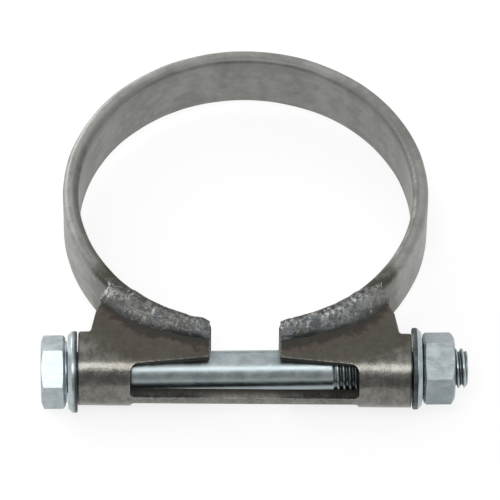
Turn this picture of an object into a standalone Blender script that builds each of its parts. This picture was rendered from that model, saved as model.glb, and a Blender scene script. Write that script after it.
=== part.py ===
"""Exhaust band clamp, modelled in metres with Z up.

A flat steel band is rolled into an open ring. Its two ends are welded, above and below, to the
flanges of one folded sheet saddle. The saddle wraps round a hex bolt, which draws the two halves
of the ring together through a washer at each end and a nut.

The shape is worked out about the ring's centre, with the bolt in front of the ring along X. The
frame empty then stands the whole clamp on the floor, over the origin. The bolt is loose in the
saddle and lies a little askew in it, as far as its clearance lets it.
"""

import math

import bmesh
import bpy
from mathutils import Matrix, Vector

MM = 0.001

# Clearances
SEAT_GAP = 0.3 * MM

# Band: a flat bar rolled to a ring that stays open at the front
BAND_OUTER_RADIUS = 46.5 * MM
BAND_THICKNESS = 4.0 * MM
BAND_WIDTH = 17.0 * MM
BAND_CORNER = 1.5 * MM
BAND_END_CORNER = 3.0 * MM
LUG_GAP = 17.6 * MM
BAND_STEPS = 96
CORNER_STEPS = 4

# Bolt
BOLT_DIAMETER = 10.0 * MM
BOLT_STICK_OUT = 3.3 * MM
BOLT_END_CHAMFER = 1.0 * MM
BOLT_SKEW = math.radians(1.2)
HEAD_HEIGHT = 6.4 * MM
HEX_WALL = 3.0 * MM
HEAD_FACE_ELEVATION = math.radians(58.5)
ROUND_STEPS = 48

# Nut and washers
NUT_HEIGHT = 7.9 * MM
NUT_FACE_ELEVATION = math.radians(66.0)
NUT_BORE_CHAMFER = 0.7 * MM
WASHER_DIAMETER = 20.4 * MM
WASHER_THICKNESS = 2.3 * MM
WASHER_CHAMFER = 1.0 * MM
WASHER_EDGE = 0.2 * MM
HOLE_CLEARANCE = 0.3 * MM

# The corners of a hexagon are turned off by a 30 degree cone that starts inside its flats
HEX_SIDES = 6
HEX_CHAMFER_SLOPE = math.tan(math.radians(30.0))
HEX_CHAMFER_START = 0.95
CUTTER_MARGIN = 1.0 * MM

# Saddle: one sheet, cut as a letter H lying on its side and folded round the bolt
SHEET = 3.0 * MM
BOLT_ROOM = 1.05 * MM
SADDLE_LENGTH = 83.0 * MM
BAND_TO_BOLT = 0.6 * MM
COLLAR_LENGTH = 13.0 * MM
EAR_LENGTH = 3.0 * MM
EAR_DEPTH = 5.0 * MM
WAIST_SETBACK = 1.2 * MM
WAIST_DEPTH = 6.2 * MM
FLANGE_SETBACK = 4.6 * MM
WINDOW_OUTER_ANGLE = math.radians(63.0)
WINDOW_INNER_ANGLE = math.radians(75.0)
STRIP_WIDTH = 2.4 * MM
STRIP_DROP = 0.8 * MM
WINDOW_CORNER = 2.2 * MM
STRIP_CORNER = 1.2 * MM
SMALL_CORNER = 0.8 * MM
FOLD_STEPS = 24
REAR_STEPS = 12

# Weld beads along the joint of flange and band, blunt at the gap and tapered at the far end
BEAD_INNER_LAP = 3.6 * MM
BEAD_OUTER_LAP = 4.9 * MM
BEAD_HEIGHT = 1.6 * MM
BEAD_EDGE_SHARE = 0.15
BEAD_NOSE = math.radians(5.0)
BEAD_NOSE_SHARE = 0.5
BEAD_TAIL = math.radians(6.0)
BEAD_TAIL_SHARE = 0.4
BEAD_OVERRUN = math.radians(1.0)
BEAD_RIPPLE = 0.07
BEAD_RIPPLES = 10
BEAD_STATIONS = 44
BEAD_CROWN_STEPS = 8

# Places that follow from the sizes
BAND_END_ANGLE = math.asin(LUG_GAP / 2 / BAND_OUTER_RADIUS)
BAND_END_DEPTH = BAND_OUTER_RADIUS * math.cos(BAND_END_ANGLE)
BOLT_RADIUS = BOLT_DIAMETER / 2
WRENCH_SIZE = BOLT_DIAMETER + 2 * HEX_WALL
BOLT_OFFSET = BAND_END_DEPTH + BAND_TO_BOLT + BOLT_RADIUS
SADDLE_END = SADDLE_LENGTH / 2
WINDOW_SIDE = SADDLE_END - COLLAR_LENGTH
EAR_SIDE = SADDLE_END - EAR_LENGTH
FLANGE_REAR_RADIUS = BAND_OUTER_RADIUS + SEAT_GAP
FLANGE_REACH = math.asin((EAR_SIDE - FLANGE_SETBACK) / FLANGE_REAR_RADIUS)
FOLD_RADIUS = BOLT_RADIUS + BOLT_ROOM + SHEET / 2
FOLD_END = FOLD_RADIUS * math.pi / 2
FLANGE_TOP = FOLD_RADIUS + SHEET / 2
WASHER_SEAT = SADDLE_END + SEAT_GAP
WASHER_FACE = WASHER_SEAT + WASHER_THICKNESS
HEAD_SEAT = -WASHER_FACE - SEAT_GAP
NUT_SEAT = WASHER_FACE + SEAT_GAP
NUT_END = NUT_SEAT + NUT_HEIGHT
BOLT_END = NUT_END + BOLT_STICK_OUT
HOLE_RADIUS = BOLT_RADIUS + HOLE_CLEARANCE
BEAD_END = FLANGE_REACH + BEAD_OVERRUN
HEX_CORNER_RADIUS = WRENCH_SIZE / 2 / math.cos(math.pi / HEX_SIDES)

SMOOTH_ANGLE = math.radians(28.0)
EDGE_ANGLE = math.radians(60.0)
MERGE_DISTANCE = 0.01 * MM


def clear_scene():
    for obj in list(bpy.data.objects):
        bpy.data.objects.remove(obj, do_unlink=True)


def new_collection(name):
    collection = bpy.data.collections.new(name)
    bpy.context.scene.collection.children.link(collection)
    return collection


def metal(name, colour, roughness):
    material = bpy.data.materials.new(name)
    material.use_nodes = True
    surface = material.node_tree.nodes["Principled BSDF"]
    surface.inputs["Base Color"].default_value = (*colour, 1.0)
    surface.inputs["Roughness"].default_value = roughness
    surface.inputs["Metallic"].default_value = 1.0
    return material


def object_from(bm, name, collection, parent, material=None):
    """Turns a bmesh into a smooth-shaded object that keeps its sharp edges."""
    mesh = bpy.data.meshes.new(name)
    bm.to_mesh(mesh)
    bm.free()
    mesh.shade_smooth()
    mesh.set_sharp_from_angle(angle=SMOOTH_ANGLE)
    obj = bpy.data.objects.new(name, mesh)
    collection.objects.link(obj)
    obj.parent = parent
    if material:
        mesh.materials.append(material)
    return obj


def empty(name, collection, parent=None):
    obj = bpy.data.objects.new(name, None)
    collection.objects.link(obj)
    obj.parent = parent
    return obj


def as_cutter(obj):
    obj.hide_render = True
    obj.display_type = "WIRE"
    return obj


def turned(name, profile, closed, collection, parent, material=None):
    """A profile of (radius, height) points, top to bottom on its outer side, spun about Z."""
    bm = bmesh.new()
    corners = [bm.verts.new((radius, 0, height)) for radius, height in profile]
    for start, end in zip(corners, corners[1:]):
        bm.edges.new((start, end))
    if closed:
        bm.edges.new((corners[-1], corners[0]))
    obj = object_from(bm, name, collection, parent, material)
    screw = obj.modifiers.new("turn", "SCREW")
    screw.steps = ROUND_STEPS
    screw.render_steps = ROUND_STEPS
    screw.use_merge_vertices = True
    screw.merge_threshold = MERGE_DISTANCE
    return obj


def boolean(obj, operation, other):
    modifier = obj.modifiers.new(operation.lower(), "BOOLEAN")
    modifier.operation = operation
    modifier.solver = "EXACT"
    modifier.object = other


def hexagon(name, bottom, top, face_elevation, collection, parent, material):
    """A hexagonal prism about Z, with one of its flats facing forwards at the given elevation."""
    bm = bmesh.new()
    bmesh.ops.create_cone(
        bm,
        cap_ends=True,
        segments=HEX_SIDES,
        radius1=HEX_CORNER_RADIUS,
        radius2=HEX_CORNER_RADIUS,
        depth=top - bottom,
    )
    turn = Matrix.Rotation(3 * math.pi / 2 - face_elevation, 4, "Z")
    lift = Matrix.Translation((0, 0, (top + bottom) / 2))
    bmesh.ops.transform(bm, matrix=lift @ turn, verts=bm.verts)
    return object_from(bm, name, collection, parent, material)


def hex_chamfer_height():
    """How far down the cone has reached the corners of the hexagon."""
    return (HEX_CORNER_RADIUS - HEX_CHAMFER_START * WRENCH_SIZE / 2) * HEX_CHAMFER_SLOPE


def mix(low, high, share):
    return low + (high - low) * share


def arc(radius, start, end, steps):
    angles = [mix(start, end, i / steps) for i in range(steps + 1)]
    return [(radius * math.cos(angle), radius * math.sin(angle)) for angle in angles]


def rounded(corners):
    """An outline of (point, radius) corners, each corner with a radius replaced by its arc."""
    outline = []
    for i, (corner, radius) in enumerate(corners):
        point = Vector(corner)
        if not radius:
            outline.append(point)
            continue
        before = (Vector(corners[i - 1][0]) - point).normalized()
        after = (Vector(corners[(i + 1) % len(corners)][0]) - point).normalized()
        half_angle = before.angle(after) / 2
        centre = point + (before + after).normalized() * radius / math.sin(half_angle)
        first = point + before * radius / math.tan(half_angle) - centre
        last = point + after * radius / math.tan(half_angle) - centre
        sweep = first.angle_signed(last)
        for step in range(CORNER_STEPS + 1):
            turn = Matrix.Rotation(-sweep * step / CORNER_STEPS, 2)
            outline.append(centre + turn @ first)
    return outline


def band_outline():
    """The band seen from above: both arcs, the cut ends, and their rounded inner corners."""
    first = BAND_END_ANGLE - math.pi / 2
    last = 3 * math.pi / 2 - BAND_END_ANGLE
    inner_radius = BAND_OUTER_RADIUS - BAND_THICKNESS
    outer = [(point, 0) for point in arc(BAND_OUTER_RADIUS, first, last, BAND_STEPS)]
    inner = [(point, 0) for point in arc(inner_radius, last, first, BAND_STEPS)]
    inner[0] = (inner[0][0], BAND_END_CORNER)
    inner[-1] = (inner[-1][0], BAND_END_CORNER)
    return rounded(outer + inner)


def make_band(collection, parent, material):
    """The outline raised to the band's width, with the rolled edges of a flat bar."""
    bm = bmesh.new()
    outline = band_outline()
    bm.faces.new([bm.verts.new((point.x, point.y, -BAND_WIDTH / 2)) for point in outline])
    raised = bmesh.ops.extrude_face_region(bm, geom=list(bm.faces))
    raised_verts = [item for item in raised["geom"] if isinstance(item, bmesh.types.BMVert)]
    bmesh.ops.translate(bm, vec=(0, 0, BAND_WIDTH), verts=raised_verts)
    bmesh.ops.recalc_face_normals(bm, faces=bm.faces)
    obj = object_from(bm, "band", collection, parent, material)
    edges = obj.modifiers.new("rolled edges", "BEVEL")
    edges.width = BAND_CORNER
    edges.segments = CORNER_STEPS
    edges.limit_method = "ANGLE"
    edges.angle_limit = EDGE_ANGLE


def developed(depth):
    """Where a point this far in front of the ring's centre lies on the flat blank."""
    return FOLD_END + BOLT_OFFSET - depth


def flange_outline():
    """The upper right flange on the blank, from the window round to the end of the ear."""
    gap_side = LUG_GAP / 2
    ear_rear = FOLD_END + EAR_DEPTH
    corners = [
        ((WINDOW_SIDE, FOLD_RADIUS * WINDOW_OUTER_ANGLE), WINDOW_CORNER),
        ((gap_side, FOLD_RADIUS * WINDOW_INNER_ANGLE), SMALL_CORNER),
    ]
    start = math.asin(gap_side / FLANGE_REAR_RADIUS)
    for i in range(REAR_STEPS + 1):
        angle = mix(start, FLANGE_REACH, i / REAR_STEPS)
        side = FLANGE_REAR_RADIUS * math.sin(angle)
        corners.append(((side, developed(FLANGE_REAR_RADIUS * math.cos(angle))), 0))
    corners.append(((EAR_SIDE - WAIST_SETBACK, ear_rear + WAIST_DEPTH), 0))
    corners.append(((EAR_SIDE, ear_rear), SMALL_CORNER))
    corners.append(((SADDLE_END, ear_rear), SMALL_CORNER))
    return corners


def blank_outline():
    """The right half of the H: the bridging strip, then the upper and the lower flange."""
    strip_top = STRIP_WIDTH / 2 - STRIP_DROP
    strip_bottom = -STRIP_WIDTH / 2 - STRIP_DROP
    upper = flange_outline()
    lower = [((x, -s), radius) for (x, s), radius in reversed(upper)]
    strip_start = [((0, strip_top), 0), ((WINDOW_SIDE, strip_top), STRIP_CORNER)]
    strip_end = [((WINDOW_SIDE, strip_bottom), STRIP_CORNER), ((0, strip_bottom), 0)]
    return rounded(strip_start + upper + lower + strip_end)


def folded(x, s):
    """Moves a point of the blank to the folded sheet, which bends in equal flat steps."""
    if abs(s) > FOLD_END:
        return Vector((x, abs(s) - FOLD_END - BOLT_OFFSET, math.copysign(FOLD_RADIUS, s)))
    step = 2 * FOLD_END / FOLD_STEPS
    line = math.floor(s / step)
    share = s / step - line
    points = []
    for number in (line, line + 1):
        angle = number * step / FOLD_RADIUS
        front = -BOLT_OFFSET - FOLD_RADIUS * math.cos(angle)
        points.append(Vector((x, front, FOLD_RADIUS * math.sin(angle))))
    return points[0].lerp(points[1], share)


def make_saddle(collection, parent, material):
    """Half of the blank, creased along the fold, bent, mirrored and given its thickness."""
    bm = bmesh.new()
    bm.faces.new([bm.verts.new((point.x, point.y, 0)) for point in blank_outline()])
    for crease in range(-FOLD_STEPS // 2, FOLD_STEPS // 2 + 1):
        height = 2 * FOLD_END * crease / FOLD_STEPS
        geometry = [*bm.verts, *bm.edges, *bm.faces]
        bmesh.ops.bisect_plane(
            bm, geom=geometry, dist=MERGE_DISTANCE, plane_co=(0, height, 0), plane_no=(0, 1, 0)
        )
    for vert in bm.verts:
        vert.co = folded(vert.co.x, vert.co.y)
    bmesh.ops.recalc_face_normals(bm, faces=bm.faces)
    obj = object_from(bm, "saddle", collection, parent, material)
    mirror = obj.modifiers.new("left half", "MIRROR")
    mirror.use_clip = True
    mirror.merge_threshold = MERGE_DISTANCE
    sheet = obj.modifiers.new("sheet", "SOLIDIFY")
    sheet.thickness = SHEET
    sheet.offset = 0
    sheet.use_even_offset = True


def bead_section(share):
    """One section of a bead as (radius, height) points, at this share of its run from the gap."""
    run = BEAD_END - BAND_END_ANGLE
    nose = math.sin(math.pi / 2 * min(1.0, share * run / BEAD_NOSE))
    tail = math.sin(math.pi / 2 * min(1.0, (1 - share) * run / BEAD_TAIL))
    tail = mix(BEAD_TAIL_SHARE, 1, tail)
    wave = math.sin(2 * math.pi * share * BEAD_RIPPLES)
    height = BEAD_HEIGHT * mix(BEAD_NOSE_SHARE, 1, nose) * tail * (1 - BEAD_RIPPLE * (1 + wave))
    inner_lap = BEAD_INNER_LAP * mix(BEAD_NOSE_SHARE, 1, nose) * tail
    outer_lap = BEAD_OUTER_LAP * tail * (1 - BEAD_RIPPLE * (1 - wave) / 2)
    band_seat = BAND_WIDTH / 2 + SEAT_GAP
    flange_seat = FLANGE_TOP + SEAT_GAP
    section = [
        (BAND_OUTER_RADIUS - inner_lap, band_seat),
        (BAND_OUTER_RADIUS, band_seat),
        (BAND_OUTER_RADIUS, flange_seat),
        (BAND_OUTER_RADIUS + outer_lap, flange_seat),
    ]
    for i in range(BEAD_CROWN_STEPS + 1):
        across = math.cos(math.pi * i / BEAD_CROWN_STEPS)
        out = (1 + across) / 2
        radius = BAND_OUTER_RADIUS + mix(-inner_lap, outer_lap, out)
        crown = height * (BEAD_EDGE_SHARE + 1 - across * across)
        section.append((radius, mix(band_seat, flange_seat, out) + crown))
    return section


def make_bead(name, side, face, collection, parent, material):
    """A weld bead lofted through its sections. Side is left or right, face is up or down."""
    bm = bmesh.new()
    rings = []
    for i in range(BEAD_STATIONS + 1):
        share = i / BEAD_STATIONS
        ring = []
        for radius, height in bead_section(share):
            angle = mix(math.asin(LUG_GAP / 2 / radius), BEAD_END, share)
            x = side * radius * math.sin(angle)
            y = -radius * math.cos(angle)
            ring.append(bm.verts.new((x, y, face * height)))
        rings.append(ring)
    bm.faces.new(rings[0])
    bm.faces.new(rings[-1])
    for near, far in zip(rings, rings[1:]):
        for i in range(len(near)):
            bm.faces.new((near[i - 1], near[i], far[i], far[i - 1]))
    bmesh.ops.recalc_face_normals(bm, faces=bm.faces)
    object_from(bm, name, collection, parent, material)


def make_bolt(collection, cutters, parent, material):
    """The hexagon head, its corners turned off, with the round shank joined to it."""
    head_top = HEAD_SEAT - HEAD_HEIGHT
    inside_head = HEAD_SEAT - HEAD_HEIGHT / 2
    head = hexagon(
        "hex_bolt", head_top, HEAD_SEAT, HEAD_FACE_ELEVATION, collection, parent, material
    )
    crown_radius = HEX_CHAMFER_START * WRENCH_SIZE / 2
    crown_foot = head_top + hex_chamfer_height()
    widest = HEX_CORNER_RADIUS + CUTTER_MARGIN
    crown_profile = [
        (0, HEAD_SEAT + CUTTER_MARGIN),
        (widest, HEAD_SEAT + CUTTER_MARGIN),
        (widest, crown_foot + CUTTER_MARGIN * HEX_CHAMFER_SLOPE),
        (crown_radius, head_top),
        (0, head_top),
    ]
    crown = as_cutter(turned("head_crown", crown_profile, False, cutters, parent))
    shank_profile = [
        (0, BOLT_END),
        (BOLT_RADIUS - BOLT_END_CHAMFER, BOLT_END),
        (BOLT_RADIUS, BOLT_END - BOLT_END_CHAMFER),
        (BOLT_RADIUS, inside_head),
        (0, inside_head),
    ]
    shank = as_cutter(turned("shank", shank_profile, False, cutters, parent))
    boolean(head, "INTERSECT", crown)
    boolean(head, "UNION", shank)


def make_nut(collection, cutters, parent, material):
    """A hexagon trimmed to a turned ring, which has the bore and the chamfers of both faces."""
    nut = hexagon("hex_nut", NUT_SEAT, NUT_END, NUT_FACE_ELEVATION, collection, parent, material)
    crown_radius = HEX_CHAMFER_START * WRENCH_SIZE / 2
    widest = HEX_CORNER_RADIUS + CUTTER_MARGIN
    chamfer = hex_chamfer_height() + CUTTER_MARGIN * HEX_CHAMFER_SLOPE
    mouth = HOLE_RADIUS + NUT_BORE_CHAMFER
    profile = [
        (crown_radius, NUT_END),
        (widest, NUT_END - chamfer),
        (widest, NUT_SEAT + chamfer),
        (crown_radius, NUT_SEAT),
        (mouth, NUT_SEAT),
        (HOLE_RADIUS, NUT_SEAT + NUT_BORE_CHAMFER),
        (HOLE_RADIUS, NUT_END - NUT_BORE_CHAMFER),
        (mouth, NUT_END),
    ]
    boolean(nut, "INTERSECT", as_cutter(turned("nut_form", profile, True, cutters, parent)))


def make_washer(name, side, collection, parent, material):
    """A flat ring, chamfered on its outward face. Side is -1 at the head and 1 at the nut."""
    rim = WASHER_DIAMETER / 2
    profile = [
        (rim - WASHER_CHAMFER, WASHER_FACE),
        (rim, WASHER_FACE - WASHER_CHAMFER),
        (rim, WASHER_SEAT + WASHER_EDGE),
        (rim - WASHER_EDGE, WASHER_SEAT),
        (HOLE_RADIUS, WASHER_SEAT),
        (HOLE_RADIUS, WASHER_FACE),
    ]
    profile = [(radius, side * height) for radius, height in profile][::side]
    turned(name, profile, True, collection, parent, material)


def stand_on_floor(frame, parts):
    """Moves the frame so that the origin is below the middle of the parts, at their lowest point."""
    bpy.context.view_layer.update()
    graph = bpy.context.evaluated_depsgraph_get()
    corners = []
    for obj in parts:
        solid = obj.evaluated_get(graph)
        corners += [solid.matrix_world @ vert.co for vert in solid.data.vertices]
    low = Vector(min(corner[axis] for corner in corners) for axis in range(3))
    high = Vector(max(corner[axis] for corner in corners) for axis in range(3))
    middle = (low + high) / 2
    frame.location = (-middle.x, -middle.y, -low.z)


def main():
    clear_scene()
    clamp = new_collection("band_clamp")
    cutters = new_collection("cutters")
    mill_steel = metal("mill_steel", (0.30, 0.30, 0.28), 0.45)
    folded_steel = metal("folded_steel", (0.17, 0.15, 0.13), 0.5)
    weld_metal = metal("weld_metal", (0.10, 0.105, 0.12), 0.55)
    zinc = metal("zinc_plate", (0.62, 0.67, 0.68), 0.28)

    frame = empty("clamp_frame", clamp)
    bolt_axis = empty("bolt_axis", clamp, frame)
    bolt_axis.location = (0, -BOLT_OFFSET, 0)
    bolt_axis.rotation_euler = (0, math.pi / 2, BOLT_SKEW)

    make_band(clamp, frame, mill_steel)
    make_saddle(clamp, frame, folded_steel)
    for side_name, side in (("left", -1), ("right", 1)):
        for face_name, face in (("upper", 1), ("lower", -1)):
            name = f"weld_bead_{face_name}_{side_name}"
            make_bead(name, side, face, clamp, frame, weld_metal)
    make_bolt(clamp, cutters, bolt_axis, zinc)
    make_washer("head_washer", -1, clamp, bolt_axis, zinc)
    make_washer("nut_washer", 1, clamp, bolt_axis, zinc)
    make_nut(clamp, cutters, bolt_axis, zinc)
    stand_on_floor(frame, [obj for obj in clamp.objects if obj.type == "MESH"])


main()
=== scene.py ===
"""Looks of the exhaust band clamp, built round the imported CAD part.

Every piece is modelled about the middle of the band's ring, in metres, with the saddle in front of
it along X, and rides on the CAD body that it belongs to. The bolt, its washers and its nut are
modelled about their own axis, which lies along their X.
"""
import math

import bmesh
import bpy
from mathutils import Matrix, Vector, noise


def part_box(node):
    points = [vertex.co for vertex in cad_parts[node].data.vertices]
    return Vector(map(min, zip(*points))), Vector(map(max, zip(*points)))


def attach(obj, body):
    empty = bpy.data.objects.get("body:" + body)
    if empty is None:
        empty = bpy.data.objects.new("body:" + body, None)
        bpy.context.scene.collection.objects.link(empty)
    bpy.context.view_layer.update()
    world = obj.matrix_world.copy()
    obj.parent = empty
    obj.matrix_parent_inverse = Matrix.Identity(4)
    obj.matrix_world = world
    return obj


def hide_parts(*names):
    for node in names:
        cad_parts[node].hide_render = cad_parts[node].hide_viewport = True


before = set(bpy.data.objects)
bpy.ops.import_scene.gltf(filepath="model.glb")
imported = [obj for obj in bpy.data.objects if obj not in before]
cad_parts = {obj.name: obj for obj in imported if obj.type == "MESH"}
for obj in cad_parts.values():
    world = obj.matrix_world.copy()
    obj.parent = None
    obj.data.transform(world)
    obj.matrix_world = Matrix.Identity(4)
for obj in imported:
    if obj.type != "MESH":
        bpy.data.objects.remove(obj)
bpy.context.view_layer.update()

MM = 0.001

# Band
BAND_OUTER_RADIUS = 46.5 * MM
BAND_THICKNESS = 4.0 * MM
BAND_WIDTH = 17.0 * MM
BAND_CORNER = 1.5 * MM
BAND_END_CORNER = 3.0 * MM
BAND_END_LIFT = 0.8
BAND_STATIONS = 300
BAND_ROWS = 10
BAND_CORNER_STEPS = 7
BAND_WAVE = 0.1 * MM

# Bolt, nut and washers
BOLT_RADIUS = 5.0 * MM
BOLT_SKEW = math.radians(1.2)
BOLT_END_CHAMFER = 1.0 * MM
BOLT_TIP_SLOPE = 1.2
HEAD_HEIGHT = 6.4 * MM
HEAD_FACE_ELEVATION = math.radians(58.5)
WRENCH_SIZE = 16.0 * MM
HEX_CROWN = 0.95
HEAD_SLOPE = math.tan(math.radians(22.0))
HEX_SLOPE = math.tan(math.radians(30.0))
BEARING_SLOPE = math.tan(math.radians(10.0))
BEARING_CHAMFER = 0.5 * MM
BEARING_INSET = 0.5 * MM
HEAD_FILLET = 0.5 * MM
BEARING_RADIUS = 7.7 * MM
BEARING_STEP = 0.25 * MM
PITCH = 1.5 * MM
THREAD_LENGTH = 34.2 * MM
THREAD_FADE = 2.2 * MM
THREAD_DEPTH = 0.85 * MM
THREAD_PROFILE = (0.0, 0.0, 0.14, 0.5, 0.86, 1.0, 1.0, 1.0, 0.86, 0.5, 0.14, 0.0)
NUT_CLEARANCE = 0.07 * MM
NUT_HEIGHT = 7.9 * MM
NUT_FACE_ELEVATION = math.radians(66.0)
NUT_MOUTH = 5.6 * MM
WASHER_RADIUS = 10.2 * MM
WASHER_HOLE = 5.3 * MM
WASHER_THICKNESS = 2.3 * MM
WASHER_CHAMFER = 1.0 * MM
WASHER_ROUNDING = 0.2 * MM
COLUMNS = 96

# Saddle
SHEET = 3.0 * MM
FOLD_RADIUS = 7.55 * MM
SADDLE_END = 41.5 * MM
WINDOW_SIDE = 28.5 * MM
EAR_SIDE = 38.5 * MM
EAR_DEPTH = 5.0 * MM
WAIST_SETBACK = 1.2 * MM
WAIST_DEPTH = 6.2 * MM
FLANGE_SETBACK = 4.6 * MM
WINDOW_OUTER_ANGLE = math.radians(63.0)
WINDOW_INNER_ANGLE = math.radians(75.0)
STRIP_WIDTH = 2.4 * MM
STRIP_DROP = 0.8 * MM
WINDOW_CORNER = 2.2 * MM
STRIP_CORNER = 1.2 * MM
SMALL_CORNER = 0.8 * MM
CORNER_STEPS = 8
FOLD_STEPS = 80
REAR_STEPS = 24
SHEET_GRID = 1.6 * MM
SHEET_ROUNDING = 0.35 * MM
SHEET_WAVE = 0.06 * MM

# Weld beads, drops and spatter
WELD_END = math.radians(49.5)
WELD_STATIONS = 180
WELD_ACROSS = 32
WELD_HEIGHT = 1.6 * MM
WELD_TOP = BAND_WIDTH / 2 + 2.4 * MM
WELD_ROOT = 0.6 * MM
WELD_INNER_LAP = 3.75 * MM
WELD_OUTER_LAP = 4.9 * MM
WELD_TAPER = 0.1
WELD_GAP_SHARE = 0.6
WELD_NOSE = math.radians(3.0)
WELD_RIPPLE = 1.7 * MM
WELD_RIPPLE_DEPTH = 0.16 * MM
WELD_CRESCENT = 1.8 * MM
DROPS_PER_BEAD = 16
WELD_TIP_NARROWING = 0.995
WELD_TAIL_LAP = 1.9 * MM
WELD_TAIL_SETBACK = 0.6 * MM
WELD_INNER_TAIL = (math.radians(38), math.radians(48))
WELD_OUTER_TAIL = (math.radians(44.5), math.radians(49))
WELD_SPREAD = (math.radians(16), math.radians(36))
WELD_FULLNESS = (3.4, 2.4)
WELD_FULL_ANGLES = (math.radians(14), math.radians(28))
WELD_INNER_STEEPNESS = 0.55
WELD_FALL_START = math.radians(39)
WELD_LUMP = 0.3 * MM
WELD_SMALL_LUMP = 0.14 * MM
WELD_GRIT = 0.05 * MM
WELD_CRATER = 0.3 * MM
DROP_SIZES = (0.16 * MM, 0.36 * MM)
SPATTER_TRIES = 26
SPATTER_ANGLES = (0.3, 0.72)
SPATTER_RADII = (51.8 * MM, 56.5 * MM)
SPATTER_SIZES = (0.1 * MM, 0.28 * MM)

# Layout
SEAT_GAP = 0.3 * MM
LUG_GAP = 17.6 * MM
BAND_TO_BOLT = 0.6 * MM
HEAD_SEAT = -44.4 * MM
NUT_SEAT = 44.4 * MM
BOLT_END = 55.6 * MM
BAND_END_ANGLE = math.asin(LUG_GAP / 2 / BAND_OUTER_RADIUS)
BOLT_OFFSET = BAND_OUTER_RADIUS * math.cos(BAND_END_ANGLE) + BAND_TO_BOLT + BOLT_RADIUS
FOLD_END = FOLD_RADIUS * math.pi / 2
FLANGE_TOP = FOLD_RADIUS + SHEET / 2
FLANGE_REAR_RADIUS = BAND_OUTER_RADIUS + SEAT_GAP
FLANGE_REACH = math.asin((EAR_SIDE - FLANGE_SETBACK) / FLANGE_REAR_RADIUS)
WASHER_SEAT = SADDLE_END + SEAT_GAP
WASHER_FACE = WASHER_SEAT + WASHER_THICKNESS
NUT_END = NUT_SEAT + NUT_HEIGHT
CROWN_RADIUS = HEX_CROWN * WRENCH_SIZE / 2

band_low, band_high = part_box("band")
RING = Vector(
    ((band_low.x + band_high.x) / 2, band_high.y - BAND_OUTER_RADIUS, (band_low.z + band_high.z) / 2)
)
RING_PLACE = Matrix.Translation(RING)
BOLT_PLACE = Matrix.Translation(RING - Vector((0, BOLT_OFFSET, 0))) @ Matrix.Rotation(BOLT_SKEW, 4, "Z")

# Meshes
SHARP_ANGLE = math.radians(32.0)
MERGE_DISTANCE = 0.002 * MM
BAND_END_ROUNDING = 0.4 * MM
HARDWARE_ROUNDING = 0.1 * MM
WASHER_EDGE_ROUNDING = 0.12 * MM
HARDWARE_EDGE_ANGLE = math.radians(40)
FACE_RING_SHARE = 0.55

# Colours, as linear red, green and blue. A painted shade is multiplied into what lies under it.
BAND_DEEP = (0.235, 0.236, 0.222)
BAND_PALE = (0.37, 0.37, 0.355)
BAND_INSIDE_PAINTED_SHADE = (0.82, 0.825, 0.81)
BAND_STAIN = (0.125, 0.125, 0.112)
BAND_EDGE_PAINTED_SHADE = (0.78, 0.785, 0.78)
BAND_SCORCH = (0.055, 0.056, 0.042)
BAND_WORN = (0.5, 0.5, 0.48)
SADDLE_DEEP = (0.115, 0.11, 0.096)
SADDLE_PALE = (0.223, 0.219, 0.204)
SADDLE_BROWN = (0.066, 0.059, 0.046)
SADDLE_RED = (0.115, 0.075, 0.066)
SADDLE_TOE_PAINTED_SHADE = (0.04, 0.038, 0.034)
SADDLE_WORN = (0.42, 0.41, 0.39)
SADDLE_FOLD_PAINTED_SHADE = (0.03, 0.027, 0.024)
SADDLE_END_PAINTED_SHADE = (0.03, 0.03, 0.03)
WELD_DARK_BLUE = (0.05, 0.058, 0.06)
WELD_DARK_BROWN = (0.06, 0.058, 0.05)
WELD_PALE_BLUE = (0.15, 0.162, 0.165)
WELD_PALE_GREY = (0.19, 0.19, 0.18)
WELD_INNER_TOE_PAINTED_SHADE = (0.042, 0.043, 0.036)
WELD_OUTER_TOE_PAINTED_SHADE = (0.036, 0.04, 0.044)
WELD_PIT = (0.03, 0.033, 0.033)
WELD_SPECK = (0.42, 0.42, 0.4)
ZINC_DEEP = (0.31, 0.36, 0.375)
ZINC_PALE = (0.44, 0.495, 0.51)
ZINC_SPOT = (0.22, 0.25, 0.26)
ZINC_WORN = (0.76, 0.79, 0.8)
ZINC_PAINTED_SHADE = (0.035, 0.04, 0.04)
SHANK_PAINTED_SHADE = (0.72, 0.72, 0.72)
DARKER_ZINC_LEVEL = 0.72

# Where marks lie, in millimetres, from where each starts to where it is full
BAND_INSIDE = (44.4, 43.0)
BAND_EDGE_FACE = (7.5, 8.3)
INNER_CORNER_LEVEL = (4.8, 7.4)
INNER_CORNER_RADIUS = (44.6, 43.6)
STAIN_FADE = (75.0, 110.0)
SCORCH_REACH = (52.5, 47.0)
FLANGE_FACE = (6.8, 8.6)
BROWN_REACH = (74.5, 67.0)
RED_OUTSIDE = (61.6, 60.0)
RED_INSIDE = (57.8, 59.6)
SADDLE_TOE_SHADE_REACH = (61.0, 59.0)
SADDLE_END_FACE = (41.0, 41.35)
WELD_CREST_PAINTED_HIGHLIGHT_INSIDE = (48.4, 50.2)
WELD_CREST_PAINTED_HIGHLIGHT_OUTSIDE = (54.6, 52.6)
WELD_TAIL_START = (35.0, 40.0)
WELD_INNER_TOE_REACH = (49.0, 47.2)
WELD_OUTER_TOE_REACH = (53.6, 55.6)
HEAD_START = (-44.2, -44.6)
SHANK_RADIUS = (5.6, 5.3)
SHANK_SIDE = (44.0, 43.0)
LEFT_MOUTH = (-27.8, -28.6)
RIGHT_MOUTH = (22.5, 27.5)
THREAD_START = (20.0, 21.0)
THREAD_END = (55.4, 55.2)
THREAD_ROOT = (4.75, 4.35)
WASHER_RIM = (8.6, 9.2)

# Painted shade inside the fold grows inwards from here, full at these depths in its lower and upper half
FOLD_SHADE_START = 8.8
FOLD_SHADE_DEPTH = (6.3, 7.9)

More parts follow.
